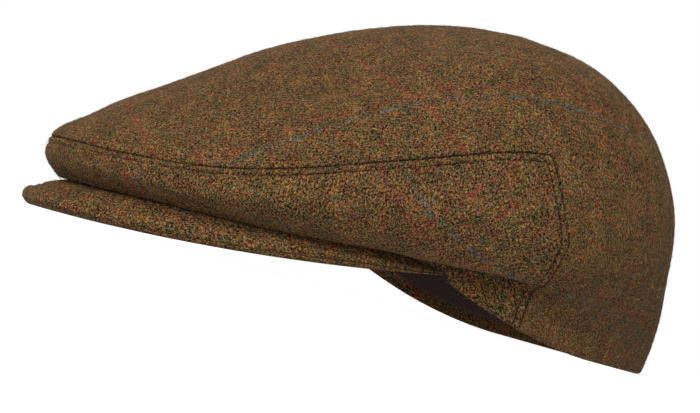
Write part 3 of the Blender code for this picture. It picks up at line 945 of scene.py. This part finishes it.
def tweedMaterial(name, look, brightness=1.0):
    material, tree, shader = newMaterial(name)
    add = partial(addNode, tree)
    colourMix = {"output": 2, "data_type": "RGBA"}
    flat, checkFlat = [
        add("VectorMath", {0: add("UVMap", uv_map=layer), "Scale": 1 / mm}, operation="SCALE")
        for layer in ("cloth", "check")]
    wander = add("TexNoise", {"Vector": flat, "Scale": look["strayScale"], "Detail": 2.0}, output="Color",
                 noise_dimensions="2D")
    offset = add("VectorMath", (wander, (0.5, 0.5, 0.5)), operation="SUBTRACT")
    loose, checkLoose = [
        add("VectorMath", (offset, (stray, stray, 0.0), straight), operation="MULTIPLY_ADD")
        for stray, straight in ((look["stray"], flat), (look["checkStray"], checkFlat))]
    slope = math.radians(look["twillSlope"])
    turned = add("VectorRotate", {"Vector": loose, "Angle": slope}, rotation_type="Z_AXIS")

    def cells(width, length, detail, spread, roughness=0.6):
        # Noise stretched along the twill lines, its values spread over 0 to 1
        place = add("VectorMath", (turned, (width, length, 1.0)), operation="DIVIDE")
        noise = add("TexNoise", {"Vector": place, "Scale": 1.0, "Detail": detail, "Roughness": roughness},
                    noise_dimensions="2D")
        return add("MapRange", {0: noise, "From Min": 0.5 - spread, "From Max": 0.5 + spread})

    blend = add("ValToRGB", [cells(look["blendWidth"], look["blendLength"], 4.0, 0.15)], look["blend"])
    strands = add("ValToRGB", [cells(look["strandWidth"], look["strandLength"], 2.0, 0.26)], look["strands"])
    heather = add("Mix", {0: look["strandShare"], 6: blend, 7: strands}, **colourMix)
    grain = cells(look["grain"], look["grain"] * 1.6, 2.0, 0.09, 0.9)
    floats = add("VectorMath", (turned, (look["floatWidth"], look["floatLength"], 1.0)), operation="DIVIDE")
    yarn = add("TexVoronoi", {"Vector": floats, "Scale": 1.0}, output=None, voronoi_dimensions="2D")

    # Neps: knots of brightly dyed fibre spun into the yarn here and there
    pick = add("SeparateColor", [yarn["Color"]], output=None)
    neps = add("ValToRGB", [pick[0]], look["neps"])
    isNep = add("Math", (pick[1], look["nepShare"]), operation="LESS_THAN")
    nepped = add("Math", (isNep, look["nepStrength"]), operation="MULTIPLY")
    heather = add("Mix", {0: nepped, 6: heather, 7: neps}, **colourMix)

    # Broken check lines: single dyed yarns that show only where they float
    split = add("SeparateXYZ", [checkLoose], output=None)
    gaps = add("TexNoise", {"Vector": flat, "Scale": look["gapScale"], "Detail": 1.0}, noise_dimensions="2D")
    breaks = cells(look["breakWidth"], look["breakLength"], 1.0, 0.2)
    dipping = add("Math", (gaps, -2.0, add("Math", (breaks, 1.0), operation="ADD")), operation="MULTIPLY_ADD")
    for axis, start, colour, floating in look["lines"]:
        along = add("Math", (split[axis], start), operation="SUBTRACT")
        away = add("Math", (along, look["checkRepeat"] / 2), operation="PINGPONG")
        near = add("Math", (away, look["lineWidth"] / 2), operation="LESS_THAN")
        shown = add("Math", (dipping, floating), operation="LESS_THAN")
        clear = add("Math", (shown, look["lineStrength"] - look["lineHaze"], look["lineHaze"]),
                    operation="MULTIPLY_ADD")
        share = add("Math", (near, clear), operation="MULTIPLY")
        heather = add("Mix", {0: share, 6: heather, 7: linear(colour)}, **colourMix)

    # Uneven dyeing, and greener and redder gatherings of fibre
    clouds = add("TexNoise", {"Vector": flat, "Scale": 1 / look["cloudSize"], "Detail": 5.0,
                              "Roughness": 0.66}, noise_dimensions="2D")
    casts = cells(look["castSize"], look["castSize"] * 1.4, 3.0, 0.15, 0.7)
    for share, values, stops in (
            (look["cloudShare"], clouds, look["clouds"]), (look["castShare"], casts, look["casts"])):
        ramp = add("ValToRGB", [values], stops)
        heather = add("Mix", {0: share, 6: heather, 7: ramp}, blend_type="MULTIPLY", **colourMix)

    # Twill lines, the shade between yarns, and the painted shade of the seams' ditches, stitch lines and
    # overhang
    lines = add("TexWave", {"Vector": turned, "Scale": waveScale(look["twillPitch"]), "Distortion": 1.6,
                            "Detail": 1.0, "Detail Scale": 3.0},
                output="Fac", wave_type="BANDS", bands_direction="X")
    shade = add("Math", (lines, look["twillDepth"], 1 - look["twillDepth"]), operation="MULTIPLY_ADD")
    coarse = add("Math", (grain, look["grainLight"] - look["grainDark"], look["grainDark"]),
                 operation="MULTIPLY_ADD")
    fuzz = cells(look["fuzz"], look["fuzz"] * 1.3, 1.0, 0.16)
    fine = add("Math", (fuzz, look["fuzzDepth"], 1 - look["fuzzDepth"] / 2), operation="MULTIPLY_ADD")
    light = add("Math", (coarse, fine), operation="MULTIPLY")
    # Painted shade, made patchy, taken off the brightness
    paintedShade = add("Attribute", output="Fac", attribute_name="paintedShade")
    patchy = add("Math", (breaks, 0.7, 0.5), operation="MULTIPLY_ADD")
    patchyShade = add("Math", (paintedShade, patchy), operation="MULTIPLY", use_clamp=True)
    level = brightness * look["brightness"]
    shadeLevel = add("Math", (patchyShade, -look["paintedShadeDark"], level), operation="MULTIPLY_ADD")
    woven = add("Math", (shade, light), operation="MULTIPLY")
    total = add("Math", (woven, shadeLevel), operation="MULTIPLY")
    cloth = add("VectorMath", {0: heather, "Scale": total}, operation="SCALE")

    # Pale tips of the clumps, and single pale fibres, as thin winding lines that come and go
    tips = add("MapRange", {
        0: light, "From Min": look["tipFrom"], "From Max": look["tipTo"], "To Max": look["tipShare"]})
    hairs = add("TexNoise", {"Vector": flat, "Scale": 1 / look["hairSpacing"], "Detail": 2.0,
                             "Distortion": 1.2}, noise_dimensions="2D")
    signed = add("Math", (hairs, 0.5), operation="SUBTRACT")
    beside = add("Math", [signed], operation="ABSOLUTE")
    thin = add("MapRange", {0: beside, "From Min": look["hairWidth"], "From Max": 0.0})
    strength = add("Math", (gaps, look["hairStrength"]), operation="MULTIPLY")
    hair = add("Math", (thin, strength), operation="MULTIPLY")
    for share, colour in ((tips, look["tip"]), (hair, look["hair"])):
        cloth = add("Mix", {0: share, 6: cloth, 7: linear(colour)}, **colourMix)

    ribs = add("Math", (lines, 0.6), operation="MULTIPLY")
    yarns = add("Math", (yarn["Distance"], -0.5), operation="MULTIPLY")
    woven = add("Math", (ribs, yarns), operation="ADD")
    height = add("Math", (grain, 0.4, woven), operation="MULTIPLY_ADD")
    bump = add("Bump", {"Strength": look["bump"], "Distance": look["bumpHeight"], "Height": height})
    fillInputs(tree, shader, {
        "Base Color": cloth, "Normal": bump, "Roughness": look["roughness"],
        "Specular IOR Level": look["specular"], "Sheen Weight": look["sheenWeight"],
        "Sheen Roughness": look["sheenRoughness"], "Sheen Tint": linear(look["sheenTint"])})
    return material


# Petersham, a cross-ribbed viscose and cotton ribbon. The eye gets fine even ribs with a dull silky gleam
ribbonLook = {
    "colour": "#432e28",
    # painted shade in the valleys between the ribs
    "shadedValley": "#1e1311",
    "ribPitch": 0.95,             # mm
    "ribDepth": 0.3 * mm,
    "bump": 0.8,
    "roughness": 0.62,
    "specular": 0.15,
}


def ribbonMaterial():
    material, tree, shader = newMaterial("petershamRibbon")
    add = partial(addNode, tree)
    flat = add("VectorMath", {0: add("UVMap", uv_map="cloth"), "Scale": 1 / mm}, operation="SCALE")
    ribs = add("TexWave", {"Vector": flat, "Scale": waveScale(ribbonLook["ribPitch"]), "Distortion": 0.25},
               output="Fac", wave_type="BANDS", bands_direction="Y")
    # The ribs' valleys are drawn darker: painted shade
    colours = {6: linear(ribbonLook["shadedValley"]), 7: linear(ribbonLook["colour"])}
    fillInputs(tree, shader, {
        "Base Color": add("Mix", {0: ribs, **colours}, output=2, data_type="RGBA"),
        "Normal": add("Bump", {
            "Strength": ribbonLook["bump"], "Distance": ribbonLook["ribDepth"], "Height": ribs}),
        "Roughness": ribbonLook["roughness"], "Specular IOR Level": ribbonLook["specular"]})
    return material


# Polyester sewing thread in dark brown, and loose wool fibres that stand off the milled face
threadLook = {
    "colour": "#170e06",
    "roughness": 0.85,
    "specular": 0.1,
    "stitchPitch": 2.1 * mm,
    "stitchLength": 1.6 * mm,
    "stitchThick": 0.46 * mm,     # drawn thicker than a real thread of 0.3
    "stitchDepth": -0.12 * mm,
    "seamPitch": 1.9 * mm,        # stitches that show in the ditch of a seam
    "seamLength": 1.5 * mm,
    "seamThick": 0.62 * mm,
    "seamDepth": -0.2 * mm,
    "endSink": 0.22 * mm,         # the ends of a stitch dive into the cloth
}
napLook = {
    "domeCount": 15000,
    "drapeCount": 9000,
    "sideCount": 8500,
    "peakCount": 3600,
    "thick": 0.075 * mm,          # drawn coarser than a real fibre of 0.03
    "shortest": 0.9 * mm,
    "longest": 4.2 * mm,
    "offTable": 0.2 * mm,
    "lift": 0.17,                 # share of its length a fibre rises off the cloth
    "bend": 0.35,
    "shortBias": 2.5,             # powers: most fibres are short, flat and dark
    "flatBias": 1.5,
    "darkBias": 1.1,
    "clear": 0.02 * mm,
    "dark": "#2e2012",
    "middle": "#7c5c36",
    "light": "#b89c70",
    "roughness": 0.8,
    "specular": 0.15,
}


def threadMaterial():
    material, tree, shader = newMaterial("darkSewingThread")
    fillInputs(tree, shader, {
        "Base Color": linear(threadLook["colour"]), "Roughness": threadLook["roughness"],
        "Specular IOR Level": threadLook["specular"]})
    return material


def napMaterial():
    material, tree, shader = newMaterial("looseWoolFibre")
    tint = addNode(tree, "Attribute", output="Fac", attribute_name="tint")
    stops = list(zip((0.0, 0.5, 1.0), (napLook[part] for part in ("dark", "middle", "light"))))
    fillInputs(tree, shader, {
        "Base Color": addNode(tree, "ValToRGB", [tint], stops), "Roughness": napLook["roughness"],
        "Specular IOR Level": napLook["specular"]})
    return material


def buildSpindles(name, centres, radii, sides, material, tint=None):
    # One mesh of closed tapering strands; the first and last centre of each is its pointed end
    count, steps = centres.shape[:2]
    along = unit(np.gradient(centres, axis=1))
    reference = np.where(np.abs(along[..., 2:]) < 0.9, [[[0.0, 0.0, 1.0]]], [[[1.0, 0.0, 0.0]]])
    first = unit(np.cross(along, reference))
    second = np.cross(along, first)
    turn = np.arange(sides) * 2 * math.pi / sides
    ring = (first[:, 1:-1, None] * np.cos(turn)[:, None] + second[:, 1:-1, None] * np.sin(turn)[:, None])
    rings = centres[:, 1:-1, None] + ring * radii[:, 1:-1, None, None]
    points = np.concatenate([centres[:, :1], rings.reshape(count, -1, 3), centres[:, -1:]], axis=1)
    each = points.shape[1]
    j = np.arange(sides)
    following = (j + 1) % sides
    faces = [[0, 1 + n, 1 + m] for m, n in zip(j, following)]
    for k in range(steps - 3):
        low, high = 1 + k * sides, 1 + (k + 1) * sides
        faces += [[low + m, low + n, high + n, high + m] for m, n in zip(j, following)]
    low = 1 + (steps - 3) * sides
    faces += [[low + m, low + n, each - 1] for m, n in zip(j, following)]
    allFaces = [[v + i * each for v in face] for i in range(count) for face in faces]
    mesh = bpy.data.meshes.new(name)
    mesh.from_pydata(points.reshape(-1, 3).tolist(), [], allFaces)
    if tint is not None:
        layer = mesh.attributes.new("tint", "FLOAT", "POINT")
        layer.data.foreach_set("value", np.repeat(tint, each))
    mesh.shade_smooth()
    mesh.materials.append(material)
    return addObject(name, mesh)


def resample(path, normals, pitch):
    # Even steps along a path, with the direction and the normal there
    along = runAlong(path)
    count = max(2, int(along[-1] / pitch))
    at = (np.arange(count) + 0.5) * along[-1] / count
    spots = np.stack([np.interp(at, along, path[:, k]) for k in range(3)], axis=-1)
    faces = unit(np.stack([np.interp(at, along, normals[:, k]) for k in range(3)], axis=-1))
    return spots, unit(np.gradient(spots, axis=0)), faces


def stitchesAlong(path, normals, pitch, length, thick, depth):
    spots, along, faces = resample(path, normals, pitch)
    share = np.array([-0.5, -0.42, -0.2, 0.0, 0.2, 0.42, 0.5])
    sink = depth + threadLook["endSink"] * (2 * share) ** 4
    centres = (
        spots[:, None] + along[:, None] * (share * length)[:, None] - faces[:, None] * sink[:, None])
    radii = thick / 2 * seamFirmness(spots)[:, None] * np.array([0, 0.75, 1, 1, 1, 0.75, 0])
    return centres, radii


def buildStitches(name, kind, points, normals, inset, stretch, material):
    # Stitches along the side panel's top edge and its upright edges, this many grid lines in from them
    sizes = [threadLook[kind + part] for part in ("Pitch", "Length", "Thick", "Depth")]
    columns = points.shape[1]
    paths = [np.s_[-1 - inset, inset:columns - inset], np.s_[stretch, inset], np.s_[stretch, -1 - inset]]
    centres, radii = zip(*[stitchesAlong(points[path], normals[path], *sizes) for path in paths])
    piece = buildSpindles(name, np.concatenate(centres), np.concatenate(radii), 6, material)
    rideAndReplace(piece, "tweed")


def scatterOn(points, normals, count, rng):
    # Random places on a grid of points, evenly by area
    u = (points[1:, :-1] - points[:-1, :-1])
    v = (points[:-1, 1:] - points[:-1, :-1])
    area = np.linalg.norm(np.cross(u, v), axis=-1)
    cell = rng.choice(area.size, count, p=(area / area.sum()).ravel())
    row, column = np.unravel_index(cell, area.shape)
    s, r = rng.random((2, count, 1))

    def blend(grid):
        low = grid[row, column] * (1 - r) + grid[row, column + 1] * r
        high = grid[row + 1, column] * (1 - r) + grid[row + 1, column + 1] * r
        return low * (1 - s) + high * s

    return blend(points), unit(blend(normals))


def buildNap(name, points, normals, total, seed, material):
    # Loose fibres: most lie along the cloth, and a few stand off it
    rng = np.random.default_rng(seed)
    spots, faces = scatterOn(points, normals, total, rng)
    heading = rng.normal(size=(total, 3))
    heading = unit(heading - faces * (heading * faces).sum(-1, keepdims=True))
    aside = np.cross(faces, heading)
    span = napLook["longest"] - napLook["shortest"]
    length = napLook["shortest"] + span * rng.random(total) ** napLook["shortBias"]
    bend = rng.uniform(-napLook["bend"], napLook["bend"], total)
    rise = napLook["lift"] * rng.random(total) ** napLook["flatBias"]
    share = np.array([-0.06, 0.28, 0.68, 1.0])
    arch = np.array([-0.12, 0.3, 0.85, 1.0])
    centres = (
        spots[:, None] + heading[:, None] * (length[:, None] * share)[..., None]
        + aside[:, None] * ((length * bend)[:, None] * share ** 2)[..., None]
        + faces[:, None] * (length[:, None] * rise[:, None] * arch + napLook["clear"])[..., None])
    centres[..., 2] = np.maximum(centres[..., 2], napLook["offTable"])
    radii = napLook["thick"] / 2 * rng.uniform(0.7, 1.25, total)[:, None] * np.array([0, 1, 0.9, 0])
    piece = buildSpindles(name, centres, radii, 3, material, rng.random(total) ** napLook["darkBias"])
    rideAndReplace(piece, "tweed")


tweed = tweedMaterial("brownTwillTweed", tweedLook)
# A darker copy of the tweed for the peak's under layer: painted shade
shadedUnderTweed = tweedMaterial("brownTwillTweedShadedUnder", tweedLook, tweedLook["underShadedBrightness"])
ribbon, thread, wool = ribbonMaterial(), threadMaterial(), napMaterial()
print("materials made")

sideFaces = buildSidePanel(tweed)
domeFaces, drapeFaces = buildTopPanel(tweed)
peakGrid = buildPeakLayer("peakUpperTweed", "tweed", "peak_upper", True, tweed)
buildPeakLayer("peakUnderTweed", "under_tweed", "peak_under", False, shadedUnderTweed)
buildSweatband(ribbon)

stitchAt = list(stitchedEdge).index(clothSizes["stitchInset"])
buildStitches("panelTopstitch", "stitch", *sideFaces, stitchAt, slice(3, -1 - stitchAt), thread)
buildStitches("seamStitch", "seam", *sideFaces, 0, slice(4, -4), thread)

peakTop = peakGrid[:, peakLook["napFrom"]:]
peakFaces = peakTop, -gridNormals(peakTop)
napped = (("dome", *domeFaces), ("drape", *drapeFaces), ("side", *sideFaces), ("peak", *peakFaces))
for seed, (part, points, normals) in enumerate(napped, 11):
    buildNap(part + "Nap", points, normals, napLook[part + "Count"], seed, wool)

# Camera: level with the surface the cap stands on, as low as it can be, turned as the photo is

cameraSizes = {
    "azimuth": 75.5,
    "distance": 1.2,
    "height": 0.006,
    "pan": 0.122,
    "tilt": 1.414,
    "roll": 15.672,
    "focalPixels": 2824.0,
    "frameWidth": 700,
    "sensor": 36.0,
    "clip": (0.05, 100),
}


def facing(right, up, back, spot):
    return Matrix([*zip(right, up, back, spot), (0, 0, 0, 1)])


def addCamera():
    stand, pan, tilt, roll = (math.radians(cameraSizes[part]) for part in ("azimuth", "pan", "tilt", "roll"))
    aim = stand + pan
    look = np.array([-math.sin(aim) * math.cos(tilt), math.cos(aim) * math.cos(tilt), math.sin(tilt)])
    right = unit(np.cross(look, [0, 0, 1]))
    up = np.cross(right, look)
    across = right * math.cos(roll) + up * math.sin(roll)
    upright = -right * math.sin(roll) + up * math.cos(roll)
    reach = cameraSizes["distance"]
    spot = (math.sin(stand) * reach, -math.cos(stand) * reach, cameraSizes["height"])
    data = bpy.data.cameras.new("camera")
    data.sensor_width = cameraSizes["sensor"]
    data.lens = cameraSizes["sensor"] * cameraSizes["focalPixels"] / cameraSizes["frameWidth"]
    data.clip_start, data.clip_end = cameraSizes["clip"]
    camera = addObject("camera", data)
    camera.matrix_world = facing(across, upright, -look, spot)
    bpy.context.scene.camera = camera


studioSizes = {
    "floorHalf": 6.0,
    "paper": "#8c8c8a",
    "paperGlow": 0.93,
    "paperRoughness": 0.9,
    "walls": (                    # share of the way from straight down to straight up, and brightness
        (0.0, 0.8), (0.22, 0.65), (0.38, 0.48), (0.43, 1.0), (0.57, 1.0), (0.66, 0.65),
        (0.76, 0.16), (1.0, 0.06)),
    "lights": (                   # name, place, width, watts
        ("keySoftbox", (1.56, -0.90, 1.26), 1.3, 56),
        ("fillSoftbox", (-1.60, 0.30, 1.30), 1.5, 14)),
    "lightsAim": (0, 0, 0.05),
}


def addFloor():
    mesh = bpy.data.meshes.new("studioFloor")
    half = studioSizes["floorHalf"]
    corners = [(-half, -half, 0), (half, -half, 0), (half, half, 0), (-half, half, 0)]
    mesh.from_pydata(corners, [], [(0, 1, 2, 3)])
    floor = addObject("studioFloor", mesh)
    # White seamless paper, lit from behind enough to keep shadows faint
    material, tree, shader = newMaterial("seamlessPaper")
    fillInputs(tree, shader, {
        "Base Color": linear(studioSizes["paper"]), "Roughness": studioSizes["paperRoughness"],
        "Emission Color": linear("#ffffff"), "Emission Strength": studioSizes["paperGlow"]})
    mesh.materials.append(material)
    floor.visible_diffuse = False


def addLight(name, spot, size, power):
    data = bpy.data.lights.new(name, "AREA")
    data.shape = "DISK"
    data.size = size
    data.energy = power
    back = unit(np.array(spot, dtype=float) - np.array(studioSizes["lightsAim"]))
    side = unit(np.cross([0, 0, 1.0], back))
    addObject(name, data).matrix_world = facing(side, np.cross(back, side), back, spot)


def addWorld():
    # White walls all round, with a dimmer ceiling and the dull bounce of the floor below
    world = bpy.data.worlds.new("studio")
    world.use_nodes = True
    tree = world.node_tree
    add = partial(addNode, tree)
    upward = add("SeparateXYZ", [add("TexCoord", output="Generated")], output=2)
    share = add("MapRange", {0: upward, "From Min": -1.0, "From Max": 1.0})
    stops = [(at, (level, level, level, 1)) for at, level in studioSizes["walls"]]
    fillInputs(tree, tree.nodes["Background"], {"Color": add("ValToRGB", [share], stops)})
    bpy.context.scene.world = world


addCamera()
addFloor()
addWorld()
for light in studioSizes["lights"]:
    addLight(*light)
bpy.context.scene.view_settings.view_transform = "Standard"
print("camera, floor and lights set")
